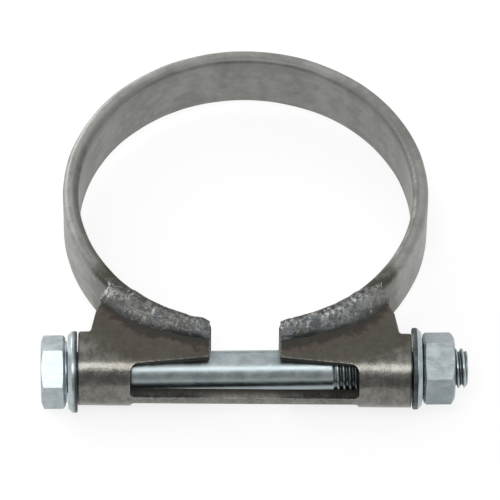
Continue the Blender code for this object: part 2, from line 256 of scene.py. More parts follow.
# Painted shade on the washers grows from here towards the saddle, full on the left and on the right at
# these
WASHER_SHADE_START = 43.0
WASHER_SHADE_FULL = (42.1, 42.85)

# Beside the gap the beads' outer edges run nearer to the band by this much, in millimetres
CLOSING_PLACE = (13.0, 29.0)
CLOSING_SHIFT = 1.9

# Floor, world and lights
FLOOR_SIZE = 8.0
FLOOR_COLOUR = (0.86, 0.86, 0.86)
FLOOR_SHADED_SHARE = 0.28
FLOOR_LIFT = 0.8
WORLD_LEVEL = 0.72
KEY = {"azimuth": -12.0, "elevation": 62.0, "distance": 1.3, "size": (0.6, 0.4), "radiance": 5.2}
RIM = {"azimuth": -142.0, "elevation": 20.0, "distance": 1.2, "size": (1.0, 0.5), "radiance": 5.5}
CARD_DISTANCE = 1.5
CARD_HEIGHT = 1.7
CARD_WIDTH = 5.0
CARD_LEVEL = 0.38

# Camera
CAMERA_AZIMUTH = math.radians(-0.43)
CAMERA_ELEVATION = math.radians(51.95)
CAMERA_ROLL = math.radians(0.75)
CAMERA_DISTANCE = 1.4
CAMERA_SIDE = 0.001166
CAMERA_RISE = -0.010324
PIXELS_PER_METRE = 3913.7
IMAGE_SIDE = 500
SENSOR = 36.0
CLIP_NEAR = 0.05
CLIP_FAR = 30.0


def mix(low, high, share):
    return low + (high - low) * share


def ease(low, high, value):
    """0 below low, 1 above high, and a smooth rise between them."""
    share = min(1.0, max(0.0, (value - low) / (high - low)))
    return share * share * (3 - 2 * share)


def wobble(point, size, seed=0.0):
    """Smooth noise from -1 to 1 whose bumps are about this size."""
    return noise.noise(Vector(point) / size + Vector((seed, seed * 0.7, -seed)))


# Turning meshes into pieces


def piece(bm, name, place, body, nodes, material):
    """Makes the mesh a smooth-shaded piece that rides on the body and stands for the CAD nodes."""
    bmesh.ops.remove_doubles(bm, verts=bm.verts, dist=MERGE_DISTANCE)
    bmesh.ops.dissolve_degenerate(bm, edges=bm.edges, dist=MERGE_DISTANCE)
    bmesh.ops.recalc_face_normals(bm, faces=bm.faces)
    mesh = bpy.data.meshes.new(name)
    bm.to_mesh(mesh)
    bm.free()
    obj = bpy.data.objects.new(name, mesh)
    bpy.context.scene.collection.objects.link(obj)
    obj.matrix_world = place
    mesh.materials.append(material)
    mesh.shade_smooth()
    mesh.set_sharp_from_angle(angle=SHARP_ANGLE)
    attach(obj, body)
    if nodes:
        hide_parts(*nodes)
    return obj


def round_edges(obj, width, limit, segments=3):
    """Rounds the edges that are sharper than the limit, and keeps flat faces looking flat."""
    edges = obj.modifiers.new("rounded edges", "BEVEL")
    edges.width = width
    edges.segments = segments
    edges.limit_method = "ANGLE"
    edges.angle_limit = limit
    edges.harden_normals = True


def apply_modifiers(obj):
    """Makes what the object's modifiers show its mesh."""
    graph = bpy.context.evaluated_depsgraph_get()
    mesh = bpy.data.meshes.new_from_object(obj.evaluated_get(graph))
    obj.modifiers.clear()
    obj.data = mesh


def skin(bm, rows, closed=False):
    """Faces between rows of points. Points that meet are merged when the piece is made."""
    made = [[bm.verts.new(point) for point in row] for row in rows]
    pairs = list(zip(made, made[1:]))
    if closed:
        pairs.append((made[-1], made[0]))
    for near, far in pairs:
        for i in range(len(near) - 1):
            bm.faces.new((near[i], near[i + 1], far[i + 1], far[i]))
    return made


# Band


def band_section(inner_radius, angle):
    """A rounded rectangle at this angle round the ring, with its own small waves."""
    half = BAND_WIDTH / 2 - BAND_CORNER
    outer = BAND_OUTER_RADIUS - BAND_CORNER
    inner = inner_radius + BAND_CORNER
    corners = ((outer, -half, -90), (outer, half, 0), (inner, half, 90), (inner, -half, 180))
    outline = []
    for number, (radius, height, start) in enumerate(corners):
        for step in range(BAND_CORNER_STEPS + 1):
            turn = math.radians(start + 90 * step / BAND_CORNER_STEPS)
            outline.append(
                (radius + BAND_CORNER * math.cos(turn), height + BAND_CORNER * math.sin(turn))
            )
        if number in (0, 2):
            _, next_height, _ = corners[number + 1]
            side = radius + (BAND_CORNER if number == 0 else -BAND_CORNER)
            for step in range(1, BAND_ROWS):
                outline.append((side, mix(height, next_height, step / BAND_ROWS)))
    points = []
    for radius, height in outline:
        where = (radius * math.sin(angle), -radius * math.cos(angle), height)
        wave = BAND_WAVE * wobble(where, 9 * MM) + 0.3 * BAND_WAVE * wobble(where, 2.5 * MM, 3)
        radius += wave
        height += 0.8 * BAND_WAVE * wobble(where, 5 * MM, 7) * (1 if height > 0 else -1)
        radius = min(radius, BAND_OUTER_RADIUS)
        height = max(-BAND_WIDTH / 2, min(height, BAND_WIDTH / 2))
        points.append((radius * math.sin(angle), -radius * math.cos(angle), height))
    return points


def make_band(material):
    """The flat bar rolled into an open ring, with the corners of its cut ends rounded off."""
    bm = bmesh.new()
    rows = []
    last = math.pi * 2 - BAND_END_ANGLE
    for i in range(BAND_STATIONS + 1):
        angle = mix(BAND_END_ANGLE, last, 0.5 - 0.5 * math.cos(math.pi * i / BAND_STATIONS))
        run = min(angle - BAND_END_ANGLE, last - angle) * (BAND_OUTER_RADIUS - BAND_THICKNESS)
        lift = 0.0
        if run < BAND_END_CORNER:
            rest = BAND_END_CORNER - run
            lift = BAND_END_CORNER - math.sqrt(BAND_END_CORNER**2 - rest * rest)
        inner_radius = BAND_OUTER_RADIUS - BAND_THICKNESS + lift * BAND_END_LIFT
        section = band_section(inner_radius, angle)
        rows.append(section + section[:1])
    made = skin(bm, rows)
    bm.faces.new(made[0][:-1])
    bm.faces.new(made[-1][:-1])
    obj = piece(bm, "rolled_band", RING_PLACE, "clamp", ["band"], material)
    round_edges(obj, BAND_END_ROUNDING, math.radians(60))


# Saddle


def rounded(corners):
    """An outline of (point, radius) corners, each corner with a radius replaced by its arc."""
    outline = []
    for i, (corner, radius) in enumerate(corners):
        point = Vector(corner)
        if not radius:
            outline.append(point)
            continue
        before = (Vector(corners[i - 1][0]) - point).normalized()
        after = (Vector(corners[(i + 1) % len(corners)][0]) - point).normalized()
        half_angle = before.angle(after) / 2
        centre = point + (before + after).normalized() * radius / math.sin(half_angle)
        first = point + before * radius / math.tan(half_angle) - centre
        last = point + after * radius / math.tan(half_angle) - centre
        sweep = first.angle_signed(last)
        for step in range(CORNER_STEPS + 1):
            turn = Matrix.Rotation(-sweep * step / CORNER_STEPS, 2)
            outline.append(centre + turn @ first)
    return outline


def developed(depth):
    """Where a point this far in front of the ring's centre lies on the flat blank."""
    return FOLD_END + BOLT_OFFSET - depth


def flange_outline():
    """The upper right flange on the blank, from the window round to the end of the ear."""
    gap_side = LUG_GAP / 2
    ear_rear = FOLD_END + EAR_DEPTH
    corners = [
        ((WINDOW_SIDE, FOLD_RADIUS * WINDOW_OUTER_ANGLE), WINDOW_CORNER),
        ((gap_side, FOLD_RADIUS * WINDOW_INNER_ANGLE), SMALL_CORNER),
    ]
    start = math.asin(gap_side / FLANGE_REAR_RADIUS)
    for i in range(REAR_STEPS + 1):
        angle = mix(start, FLANGE_REACH, i / REAR_STEPS)
        side = FLANGE_REAR_RADIUS * math.sin(angle)
        corners.append(((side, developed(FLANGE_REAR_RADIUS * math.cos(angle))), 0))
    corners.append(((EAR_SIDE - WAIST_SETBACK, ear_rear + WAIST_DEPTH), 0))
    corners.append(((EAR_SIDE, ear_rear), SMALL_CORNER))
    corners.append(((SADDLE_END, ear_rear), SMALL_CORNER))
    return corners


def blank_outline():
    """The right half of the H: the bridging strip, then the upper and the lower flange."""
    strip_top = STRIP_WIDTH / 2 - STRIP_DROP
    strip_bottom = -STRIP_WIDTH / 2 - STRIP_DROP
    upper = flange_outline()
    lower = [((x, -s), radius) for (x, s), radius in reversed(upper)]
    strip_start = [((0, strip_top), 0), ((WINDOW_SIDE, strip_top), STRIP_CORNER)]
    strip_end = [((WINDOW_SIDE, strip_bottom), STRIP_CORNER), ((0, strip_bottom), 0)]
    return rounded(strip_start + upper + lower + strip_end)


def folded(x, s):
    """Moves a point of the blank to its place on the folded sheet."""
    if abs(s) > FOLD_END:
        return Vector((x, abs(s) - FOLD_END - BOLT_OFFSET, math.copysign(FOLD_RADIUS, s)))
    angle = s / FOLD_RADIUS
    front = -BOLT_OFFSET - FOLD_RADIUS * math.cos(angle)
    return Vector((x, front, FOLD_RADIUS * math.sin(angle)))


def crease(bm, place, normal):
    geometry = [*bm.verts, *bm.edges, *bm.faces]
    bmesh.ops.bisect_plane(
        bm, geom=geometry, dist=MERGE_DISTANCE, plane_co=place, plane_no=normal
    )


def make_saddle(material):
    """Half of the blank, divided finely, folded, mirrored, thickened and worn."""
    bm = bmesh.new()
    bm.faces.new([bm.verts.new((point.x, point.y, 0)) for point in blank_outline()])
    for step in range(-FOLD_STEPS // 2, FOLD_STEPS // 2 + 1):
        crease(bm, (0, 2 * FOLD_END * step / FOLD_STEPS, 0), (0, 1, 0))
    flange_length = developed(0) - FOLD_END
    for step in range(1, int(flange_length / SHEET_GRID)):
        for face in (1, -1):
            crease(bm, (0, face * (FOLD_END + step * SHEET_GRID), 0), (0, 1, 0))
    for step in range(1, int(SADDLE_END / SHEET_GRID) + 1):
        crease(bm, (step * SHEET_GRID, 0, 0), (1, 0, 0))
    for vert in bm.verts:
        vert.co = folded(vert.co.x, vert.co.y)
    obj = piece(bm, "pressed_saddle", RING_PLACE, "clamp", ["saddle"], material)
    mirror = obj.modifiers.new("left half", "MIRROR")
    mirror.use_clip = True
    mirror.merge_threshold = MERGE_DISTANCE
    sheet = obj.modifiers.new("sheet", "SOLIDIFY")
    sheet.thickness = SHEET
    sheet.offset = 0
    sheet.use_even_offset = True
    round_edges(obj, SHEET_ROUNDING, math.radians(50))
    apply_modifiers(obj)
    normals = [vert.normal.copy() for vert in obj.data.vertices]
    for vert, normal in zip(obj.data.vertices, normals):
        inside = 1 - ease(36 * MM, SADDLE_END, abs(vert.co.x))
        wave = wobble(vert.co, 7 * MM, 11) * inside - 0.5 * abs(wobble(vert.co, 2 * MM, 5))
        vert.co += normal * min(0.0, SHEET_WAVE * (wave - 0.3))


# Weld beads


def weld_edges(angle, seed):
    """The inner and outer radius of a bead at this angle, both a little ragged."""
    place = (angle * BAND_OUTER_RADIUS, 0, 0)
    full = 1 - ease(*WELD_OUTER_TAIL, angle)
    tail = 1 - ease(*WELD_INNER_TAIL, angle)
    nose = ease(BAND_END_ANGLE, BAND_END_ANGLE + WELD_NOSE, angle)
    inner_lap = mix(WELD_TAIL_LAP, WELD_INNER_LAP, tail) * mix(0.85, 1, nose)
    spread = mix(WELD_GAP_SHARE, 1, ease(*WELD_SPREAD, angle))
    outer_lap = mix(-WELD_TAIL_SETBACK, WELD_OUTER_LAP * spread, full)
    inner_lap += 0.2 * MM * wobble(place, 3.1 * MM, seed)
    outer_lap += 0.5 * MM * wobble(place, 3.4 * MM, seed + 4)
    outer_lap += 0.15 * MM * wobble(place, 1 * MM, seed)
    return BAND_OUTER_RADIUS - inner_lap, BAND_OUTER_RADIUS + outer_lap


def weld_seat(radius, angle):
    """The height of the metal under a bead: the band's rounded edge, then the flange's face."""
    middle = BAND_OUTER_RADIUS - BAND_THICKNESS / 2
    rest = abs(radius - middle) - (BAND_THICKNESS / 2 - BAND_CORNER)
    rest = min(max(0.0, rest), BAND_CORNER)
    edge = BAND_WIDTH / 2 - BAND_CORNER + math.sqrt(BAND_CORNER**2 - rest * rest)
    on_flange = ease(middle, BAND_OUTER_RADIUS + 0.3 * MM, radius)
    return mix(edge, FLANGE_TOP, on_flange * (1 - ease(0.8, 0.87, angle)))


def weld_crown(run, across, angle, seed):
    """How far the bead stands over its seat, from its dome, its crescent ripples and its lumps."""
    fullness = mix(*WELD_FULLNESS, ease(*WELD_FULL_ANGLES, angle))
    steepness = mix(WELD_INNER_STEEPNESS, 1, max(0.0, across))
    dome = max(0.0, 1 - abs(across) ** fullness) ** steepness
    nose = mix(0.65, 1, ease(BAND_END_ANGLE, BAND_END_ANGLE + WELD_NOSE, angle))
    tail = mix(0.12, 1, 1 - ease(WELD_FALL_START, WELD_END, angle))
    place = (run, across * 4 * MM, 0)
    phase = (run + WELD_CRESCENT * across * across) / WELD_RIPPLE
    phase += 0.7 * wobble(place, 4 * MM, seed + 9)
    strength = 0.35 + 0.65 * ease(-0.3, 0.3, wobble(place, 5 * MM, seed + 17))
    ripple = WELD_RIPPLE_DEPTH * strength * (abs(math.sin(math.pi * phase)) - 1) * (1 - across**4)
    lumps = WELD_LUMP * wobble(place, 3.2 * MM, seed + 2)
    lumps += WELD_SMALL_LUMP * wobble(place, 1.5 * MM, seed + 6)
    grit = WELD_GRIT * wobble(place, 0.7 * MM, seed + 5)
    crater = ease(0.45, 0.65, wobble(place, 1.9 * MM, seed + 31))
    rough = ripple + lumps + grit - WELD_CRATER * crater
    return dome * nose * tail * WELD_HEIGHT + rough * min(1.0, 1.6 * dome) * mix(0.4, 1, tail)


def weld_point(share, across, seed):
    """Radius, angle and height of a point on a bead's crown."""
    inner, outer = weld_edges(mix(BAND_END_ANGLE, WELD_END, share), seed)
    run_out = max(0.0, 1 - (1 - share) / WELD_TAPER)
    width = (outer - inner) * math.sqrt(1 - WELD_TIP_NARROWING * run_out**2)
    radius = (inner + outer + across * width) / 2
    start = math.asin(LUG_GAP / 2 / radius)
    angle = mix(start, WELD_END, share)
    height = weld_seat(radius, angle)
    height += weld_crown(share * (WELD_END - start) * radius, across, angle, seed)
    return radius, angle, min(height, WELD_TOP)


def add_drops(bm, side, face, seed):
    """Beads of bright metal on a weld's crown, most of them near the gap."""
    for number in range(DROPS_PER_BEAD):
        place = (number * 1.7 * MM, seed * MM, 0)
        share = 0.02 + 0.6 * abs(wobble(place, 1 * MM, 3)) * number / DROPS_PER_BEAD
        across = 0.75 * wobble(place, 1 * MM, 19) + 0.15
        size = mix(*DROP_SIZES, abs(wobble(place, 1 * MM, 41)))
        radius, angle, height = weld_point(share, across, seed)
        height = min(height, WELD_TOP - 0.6 * size)
        spot = (side * radius * math.sin(angle), -radius * math.cos(angle), face * height)
        matrix = Matrix.Translation(spot) @ Matrix.Diagonal((1, 1.2, 0.6, 1))
        bmesh.ops.create_icosphere(bm, subdivisions=2, radius=size, matrix=matrix)


def make_weld(name, side, face, seed, cad_node, material):
    """One bead over the joint of flange and band. Side is -1 for left, face is -1 for below."""
    bm = bmesh.new()
    rows = []
    for i in range(WELD_STATIONS + 1):
        share = i / WELD_STATIONS
        steps = range(WELD_ACROSS + 1)
        row = [weld_point(share, -math.cos(math.pi * j / WELD_ACROSS), seed) for j in steps]
        for radius, angle, _ in (row[-1], row[0]):
            row.append((radius, angle, weld_seat(radius, angle) - WELD_ROOT))
        points = [
            (side * radius * math.sin(angle), -radius * math.cos(angle), face * height)
            for radius, angle, height in row
        ]
        rows.append(points + points[:1])
    made = skin(bm, rows)
    bm.faces.new(made[0][:-1])
    bm.faces.new(made[-1][:-1])
    add_drops(bm, side, face, seed)
    piece(bm, name, RING_PLACE, "clamp", [cad_node], material)


def make_spatter(material):
    """Small beads of metal that the arc threw on to the flanges."""
    bm = bmesh.new()
    for number in range(SPATTER_TRIES):
        side = 1 if number % 2 else -1
        face = 1 if number % 4 < 2 else -1
        place = (number * 1.7 * MM, 0, 0)
        angle = mix(*SPATTER_ANGLES, 0.5 + 0.5 * wobble(place, 1 * MM, 21))
        radius = mix(*SPATTER_RADII, 0.5 + 0.5 * wobble(place, 1 * MM, 33))
        size = mix(*SPATTER_SIZES, (0.5 + 0.5 * wobble(place, 1 * MM, 47)) ** 2)
        spot = Vector((side * radius * math.sin(angle), -radius * math.cos(angle), face * FLANGE_TOP))
        if abs(spot.y) > BOLT_OFFSET - 1 * MM:
            continue
        matrix = Matrix.Translation(spot) @ Matrix.Diagonal((1, 1.15, 0.75, 1))
        bmesh.ops.create_icosphere(bm, subdivisions=2, radius=size, matrix=matrix)
    piece(bm, "weld_spatter", RING_PLACE, "clamp", [], material)


# Bolt, nut and washers, turned about their own X


def columns(elevation):
    """Angles about X, one of them on each corner of a hexagon with a flat at this elevation."""
    start = math.pi - elevation
    return [start + 2 * math.pi * i / COLUMNS for i in range(COLUMNS + 1)]


def hex_radius(angle, elevation):
    sector = math.pi / 3
    off_flat = (angle - (math.pi - elevation) + sector / 2) % sector - sector / 2
    return WRENCH_SIZE / 2 / math.cos(off_flat)


def hex_cut(radius, slope):
    """How far the cone has come down where the hexagon reaches this radius."""
    return max(0.0, radius - CROWN_RADIUS) * slope


def ring_row(x, radius, angles):
    return [(x, radius * math.cos(angle), radius * math.sin(angle)) for angle in angles]


def hex_row(end, direction, elevation, angles, slope=HEX_SLOPE, inset=0.0):
    """The edge between a hexagon's flats and the cone at one of its ends."""
    row = []
    for angle in angles:
        radius = hex_radius(angle, elevation) - inset
        x = end + direction * hex_cut(radius, slope)
        row.append((x, radius * math.cos(angle), radius * math.sin(angle)))
    return row


def thread_rows(start, end, angles, radius_at):
    """Helical rows of a right-hand thread from start to end, of the radius that radius_at gives."""
    rows = []
    points = len(THREAD_PROFILE)
    first = math.floor(start / PITCH) - 2
    last = math.ceil(end / PITCH) + 1
    for number in range(first * points, last * points):
        depth = THREAD_PROFILE[number % points]
        row = []
        for angle in angles:
            x = PITCH * (number / points + angle / (2 * math.pi))
            x = min(end, max(start, x))
            radius = radius_at(x, depth)
            row.append((x, radius * math.cos(angle), radius * math.sin(angle)))
        rows.append(row)
    return rows


def bolt_radius(x, depth):
    """The thread rises out of the shank and ends in the chamfer of the tip."""
    start = BOLT_END - THREAD_LENGTH
    cut = THREAD_DEPTH * depth * ease(start, start + THREAD_FADE, x)
    tip = BOLT_RADIUS - BOLT_END_CHAMFER + max(0.0, BOLT_END - x) * BOLT_TIP_SLOPE
    return min(BOLT_RADIUS - cut, tip)


def nut_radius(x, depth):
    mouth = NUT_MOUTH - min(x - NUT_SEAT, NUT_END - x)
    return max(BOLT_RADIUS + NUT_CLEARANCE - THREAD_DEPTH * depth, mouth)


def make_bolt(material):
    bm = bmesh.new()
    angles = columns(HEAD_FACE_ELEVATION)
    head_top = HEAD_SEAT - HEAD_HEIGHT
    skirt = HEAD_SEAT - BEARING_STEP
    rows = [
        ring_row(head_top, 0.0, angles),
        ring_row(head_top, CROWN_RADIUS * FACE_RING_SHARE, angles),
        ring_row(head_top, CROWN_RADIUS, angles),
        hex_row(head_top, 1, HEAD_FACE_ELEVATION, angles, HEAD_SLOPE),
        hex_row(skirt - BEARING_CHAMFER, -1, HEAD_FACE_ELEVATION, angles, BEARING_SLOPE),
        hex_row(skirt, -1, HEAD_FACE_ELEVATION, angles, BEARING_SLOPE, BEARING_INSET),
        ring_row(skirt, BEARING_RADIUS, angles),
        ring_row(HEAD_SEAT, BEARING_RADIUS, angles),
    ]
    for step in range(5):
        turn = math.pi / 2 * step / 4
        x = HEAD_SEAT + HEAD_FILLET * (1 - math.cos(turn))
        rows.append(ring_row(x, BOLT_RADIUS + HEAD_FILLET * (1 - math.sin(turn)), angles))
    rows += thread_rows(BOLT_END - THREAD_LENGTH, BOLT_END, angles, bolt_radius)
    rows.append(ring_row(BOLT_END, (BOLT_RADIUS - BOLT_END_CHAMFER) * FACE_RING_SHARE, angles))
    rows.append(ring_row(BOLT_END, 0.0, angles))
    skin(bm, rows)
    obj = piece(bm, "threaded_bolt", BOLT_PLACE, "bolt", ["hex_bolt"], material)
    round_edges(obj, HARDWARE_ROUNDING, HARDWARE_EDGE_ANGLE, 2)


def make_nut(material):
    bm = bmesh.new()
    angles = columns(NUT_FACE_ELEVATION)
    rows = [
        ring_row(NUT_SEAT, NUT_MOUTH, angles),
        ring_row(NUT_SEAT, CROWN_RADIUS, angles),
        hex_row(NUT_SEAT, 1, NUT_FACE_ELEVATION, angles, BEARING_SLOPE, BEARING_INSET),
        hex_row(NUT_SEAT + BEARING_CHAMFER, 1, NUT_FACE_ELEVATION, angles, BEARING_SLOPE),
        hex_row(NUT_END, -1, NUT_FACE_ELEVATION, angles),
        ring_row(NUT_END, CROWN_RADIUS, angles),
        ring_row(NUT_END, NUT_MOUTH, angles),
    ]
    rows += thread_rows(NUT_SEAT, NUT_END, angles, nut_radius)[::-1]
    skin(bm, rows, closed=True)
    obj = piece(bm, "threaded_nut", BOLT_PLACE, "nut", ["hex_nut"], material)
    round_edges(obj, HARDWARE_ROUNDING, HARDWARE_EDGE_ANGLE, 2)


def make_washer(name, side, body, cad_node, material):
    """A flat ring, chamfered on its outward face. Side is -1 at the head and 1 at the nut."""
    bm = bmesh.new()
    angles = columns(0.0)
    rim = WASHER_RADIUS
    profile = [
        (WASHER_FACE, WASHER_HOLE),
        (WASHER_FACE, rim - WASHER_CHAMFER),
        (WASHER_FACE - WASHER_CHAMFER, rim),
        (WASHER_SEAT + WASHER_ROUNDING, rim),
        (WASHER_SEAT, rim - WASHER_ROUNDING),
        (WASHER_SEAT, WASHER_HOLE),
    ]
    skin(bm, [ring_row(side * x, radius, angles) for x, radius in profile], closed=True)
    obj = piece(bm, name, BOLT_PLACE, body, [cad_node], material)
    round_edges(obj, WASHER_EDGE_ROUNDING, HARDWARE_EDGE_ANGLE, 2)


# Materials


def node(tree, kind, inputs=None, **settings):
    """A node with its settings made and its inputs set, or linked where they are sockets."""
    made = tree.nodes.new("ShaderNode" + kind)
    for name, value in settings.items():
        setattr(made, name, value)
    for name, value in (inputs or {}).items():
        if isinstance(value, bpy.types.NodeSocket):
            tree.links.new(value, made.inputs[name])
        else:
            made.inputs[name].default_value = value
    return made


def calc(tree, operation, first, second=0.0):
    return node(tree, "Math", {0: first, 1: second}, operation=operation).outputs[0]


def span(tree, value, low, high, start=0.0, end=1.0):
    """Maps low to high on to start to end, smoothly and clamped."""
    made = node(
        tree,
        "MapRange",
        {"Value": value, "From Min": low, "From Max": high, "To Min": start, "To Max": end},
        interpolation_type="SMOOTHSTEP",
    )
    return made.outputs["Result"]


def cloud(tree, position, scale, detail=3.0, rough=0.5, warp=0.0):
    """Noise from 0 to 1. The scale is in bumps for each millimetre, along X, Y and Z."""
    scaled = node(tree, "VectorMath", {0: position, 1: scale}, operation="MULTIPLY").outputs[0]
    inputs = {"Vector": scaled, "Scale": 1.0, "Detail": detail, "Roughness": rough, "Distortion": warp}
    return node(tree, "TexNoise", inputs).outputs[0]


def blend(tree, share, first, second, mode="MIX"):
    """Lays the second colour over the first by this share. A colour is a socket or three numbers."""
    first, second = [(*value, 1.0) if isinstance(value, tuple) else value for value in (first, second)]
    made = node(tree, "Mix", {0: share, 6: first, 7: second}, data_type="RGBA", blend_type=mode)
    return made.outputs[2]


def start_material(name):
    """A material with its surface node, and the place on the piece in millimetres."""
    material = bpy.data.materials.new(name)
    material.use_nodes = True
    tree = material.node_tree
    surface = tree.nodes["Principled BSDF"]
    place = node(tree, "TexCoord").outputs["Object"]
    position = node(tree, "VectorMath", {0: place, 1: (1000,) * 3}, operation="MULTIPLY").outputs[0]
    return material, tree, surface, position


def edge_wear(tree, radius, position):
    """1 on worn edges and 0 elsewhere, broken up by noise."""
    soft = node(tree, "Bevel", {"Radius": radius}, samples=4).outputs[0]
    hard = node(tree, "NewGeometry").outputs["Normal"]
    same = node(tree, "VectorMath", {0: soft, 1: hard}, operation="DOT_PRODUCT").outputs["Value"]
    edge = span(tree, same, 0.995, 0.9)
    return calc(tree, "MULTIPLY", edge, span(tree, cloud(tree, position, (0.9,) * 3), 0.35, 0.65))


def connect(tree, surface, **sockets):
    for name, value in sockets.items():
        socket = surface.inputs[name.replace("_", " ")]
        if isinstance(value, bpy.types.NodeSocket):
            tree.links.new(value, socket)
        else:
            socket.default_value = value


def weighed(tree, *parts):
    """The sum of (value, weight) pairs."""
    total = 0.0
    for value, weight in parts:
        share = calc(tree, "MULTIPLY", value, weight)
        total = calc(tree, "ADD", total, share)
    return total


def bumps(tree, height, distance, strength=1.0):
    return node(tree, "Bump", {"Height": height, "Distance": distance, "Strength": strength}).outputs[0]


def polar(tree, position):
    """Distance round the ring, height and radius, in millimetres."""
    parts = node(tree, "SeparateXYZ", {0: position})
    x, y, z = parts.outputs
    angle = calc(tree, "ARCTAN2", x, y)
    square = calc(tree, "ADD", calc(tree, "MULTIPLY", x, x), calc(tree, "MULTIPLY", y, y))
    radius = calc(tree, "SQRT", square)
    around = calc(tree, "MULTIPLY", angle, BAND_OUTER_RADIUS / MM)
    flow = node(tree, "CombineXYZ", {0: around, 1: z, 2: radius}).outputs[0]
    return flow, radius, z


def distance_from_front(tree, flow):
    """How far round the ring a place is from the middle of the gap, in millimetres."""
    along = calc(tree, "ABSOLUTE", node(tree, "SeparateXYZ", {0: flow}).outputs[0])
    return calc(tree, "SUBTRACT", math.pi * BAND_OUTER_RADIUS / MM, along)


def closing_in(tree, flow):
    """How much nearer to the band the beads' outer edges run beside the gap, in millimetres."""
    return span(tree, distance_from_front(tree, flow), *CLOSING_PLACE, CLOSING_SHIFT, 0.0)


def band_steel():
    """Dull mill-finished bar: cloudy scale, rolling marks round the ring, and scorched ends.

    Its inside and edge faces are darkened with painted shade; its inner corners are stained near the
    welds.
    """
    material, tree, surface, position = start_material("band_steel")
    flow, radius, height = polar(tree, position)
    clouds = cloud(tree, position, (0.07,) * 3, 5, 0.6, 0.5)
    patches = cloud(tree, position, (0.33,) * 3, 4, 0.6, 0.3)
    marks = cloud(tree, flow, (0.05, 0.8, 0.4), 3, 0.6)
    fine = cloud(tree, position, (2.4,) * 3, 3, 0.65)
    tone = weighed(tree, (clouds, 0.4), (patches, 0.35), (marks, 0.15), (fine, 0.1))
    tint = blend(tree, span(tree, tone, 0.38, 0.62), BAND_DEEP, BAND_PALE)
    # Painted shade: the whole inside face of the ring is darkened.
    inner = span(tree, radius, *BAND_INSIDE)
    tint = blend(tree, calc(tree, "MULTIPLY", inner, 0.8), tint, BAND_INSIDE_PAINTED_SHADE, "MULTIPLY")
    level = calc(tree, "ABSOLUTE", height)
    inner_corner = span(tree, level, *INNER_CORNER_LEVEL)
    inner_corner = calc(tree, "MULTIPLY", inner_corner, span(tree, radius, *INNER_CORNER_RADIUS))
    from_front = distance_from_front(tree, flow)
    stain = calc(tree, "MULTIPLY", inner_corner, span(tree, patches, 0.34, 0.6, 0.1, 0.6))
    stain = calc(tree, "MULTIPLY", stain, span(tree, from_front, *STAIN_FADE, 1.0, 0.15))
    tint = blend(tree, stain, tint, BAND_STAIN)
    # Painted shade: the flat edge faces above and below are darkened all round.
    tint = blend(tree, span(tree, level, *BAND_EDGE_FACE), tint, BAND_EDGE_PAINTED_SHADE, "MULTIPLY")
    warped = weighed(tree, (from_front, 1.0), (patches, 9.0))
    scorch = span(tree, patches, 0.3, 0.5, 0.6, 1)
    scorch = calc(tree, "MULTIPLY", span(tree, warped, *SCORCH_REACH), scorch)
    scorch = calc(tree, "MULTIPLY", scorch, span(tree, level, 6.0, 8.0, 0.45, 0.95))
    tint = blend(tree, scorch, tint, BAND_SCORCH)
    wear = edge_wear(tree, 0.5 * MM, position)
    tint = blend(tree, calc(tree, "MULTIPLY", wear, 0.22), tint, BAND_WORN)
    rough = weighed(tree, (span(tree, tone, 0.3, 0.7, 0.46, 0.58), 1.0), (stain, 0.15))
    connect(tree, surface, Base_Color=tint, Metallic=0.95, Roughness=rough)
    connect(tree, surface, Normal=bumps(tree, weighed(tree, (fine, 0.5), (patches, 1.0)), 0.06 * MM, 0.9))
    return material


